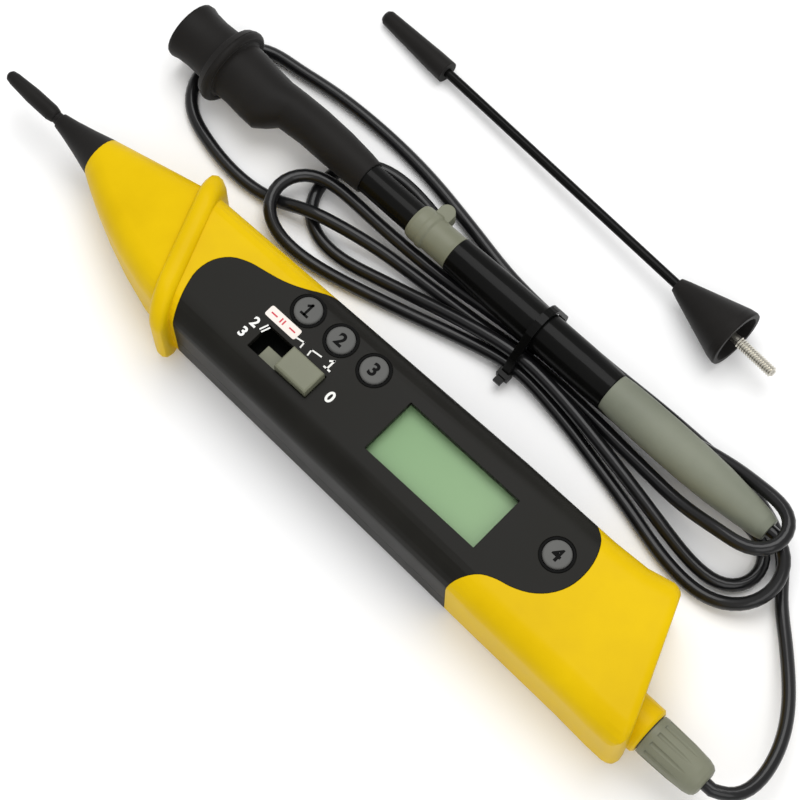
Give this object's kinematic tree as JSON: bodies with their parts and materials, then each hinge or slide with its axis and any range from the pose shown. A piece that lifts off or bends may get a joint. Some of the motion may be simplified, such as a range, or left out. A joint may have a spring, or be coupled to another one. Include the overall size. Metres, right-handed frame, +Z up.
{
  "type": "pen multimeter",
  "caption": "Slim pen-shaped multimeter with guard ring, display, slide switch and buttons, with its tied-up test lead, clip probe and extension probe.",
  "frame": {"origin": "on the flat back of the meter, midway across the body and near the middle of its length, where it rests on the table", "axes": "+X from the tip towards the lead jack, +Y across the body towards the loose probe, +Z up out of the face"},
  "size_m": [0.2341, 0.0996, 0.0264],
  "materials": {
    "black_case": "fine satin",
    "yellow_cover": "semi-gloss",
    "black_rubber": "satin",
    "black_plastic": "semi-gloss",
    "black_cord": "gloss",
    "grey_plastic": "satin",
    "grey_grip": "soft satin",
    "grey_keys": "matte",
    "display_glass": "clear",
    "display_green": "satin film",
    "contact_rubber": "matte",
    "board": "semi-gloss",
    "bright_metal": "bright",
    "brass_parts": "bright",
    "cell_jacket": "gloss"
  },
  "bodies": {
    "meter": {"front_case": "black_case", "rear_case": "black_case", "nose_cover": "yellow_cover", "tail_cover": "yellow_cover", "tip_cone": "black_rubber", "tip_needle": "bright_metal", "needle_socket": "brass_parts", "display_window": "display_glass", "display_cell": "display_green", "contact_strips": "contact_rubber", "circuit_board": "board", "key_domes": "bright_metal", "fuse": "bright_metal", "fuse_clips": "brass_parts", "cells": "cell_jacket", "cell_contacts": "bright_metal", "battery_cover": "black_case", "cover_screw": "bright_metal", "case_screws": "bright_metal", "lead_jack": "brass_parts", "plug_sleeve": "grey_plastic", "plug_pin": "bright_metal", "lead_cord": "black_cord", "lead_hank": "black_cord", "hank_tie": "black_plastic", "probe_grip": "grey_grip", "probe_handle": "black_plastic", "probe_collar": "grey_plastic", "probe_barrel": "black_plastic", "probe_needle": "bright_metal", "clip_boot": "black_rubber", "clip_frame": "bright_metal", "clip_pin": "bright_metal", "clip_spring": "bright_metal", "extension_cap": "black_rubber", "extension_rod": "black_plastic", "extension_cone": "black_rubber", "extension_pin": "bright_metal"},
    "switch": {"mode_switch": "grey_plastic", "wiper_plate": "brass_parts"},
    "hold_button": {"hold_button": "grey_keys"},
    "range_button": {"range_button": "grey_keys"},
    "select_button": {"select_button": "grey_keys"},
    "input_button": {"input_button": "grey_keys"},
    "sheath": {"tip_sheath": "black_rubber"},
    "jaw": {"clip_jaw": "bright_metal"}
  },
  "joints": [
    {"name": "mode_slide", "type": "slide", "parent": "meter", "child": "switch", "axis": [-1, 0, 0], "range_m": [0, 0.0078]},
    {"name": "hold_button_press", "type": "slide", "parent": "meter", "child": "hold_button", "axis": [0, 0, -1], "range_m": [0, 0.0007], "stiffness_N_per_m": 300, "springref_m": -0.0004},
    {"name": "range_button_press", "type": "slide", "parent": "meter", "child": "range_button", "axis": [0, 0, -1], "range_m": [0, 0.0007], "stiffness_N_per_m": 300, "springref_m": -0.0004},
    {"name": "select_button_press", "type": "slide", "parent": "meter", "child": "select_button", "axis": [0, 0, -1], "range_m": [0, 0.0007], "stiffness_N_per_m": 300, "springref_m": -0.0004},
    {"name": "input_button_press", "type": "slide", "parent": "meter", "child": "input_button", "axis": [0, 0, -1], "range_m": [0, 0.0007], "stiffness_N_per_m": 300, "springref_m": -0.0004},
    {"name": "sheath_pull", "type": "slide", "parent": "meter", "child": "sheath", "axis": [-1, 0, 0], "range_m": [0, 0.018]},
    {"name": "jaw_open", "type": "hinge", "parent": "meter", "child": "jaw", "pos_m": [-0.068, 0.0416, 0.0096], "axis": [0, 0, 1], "range_deg": [0, 9], "stiffness_Nm_per_rad": 0.05, "springref_deg": -17.19}
  ]
}
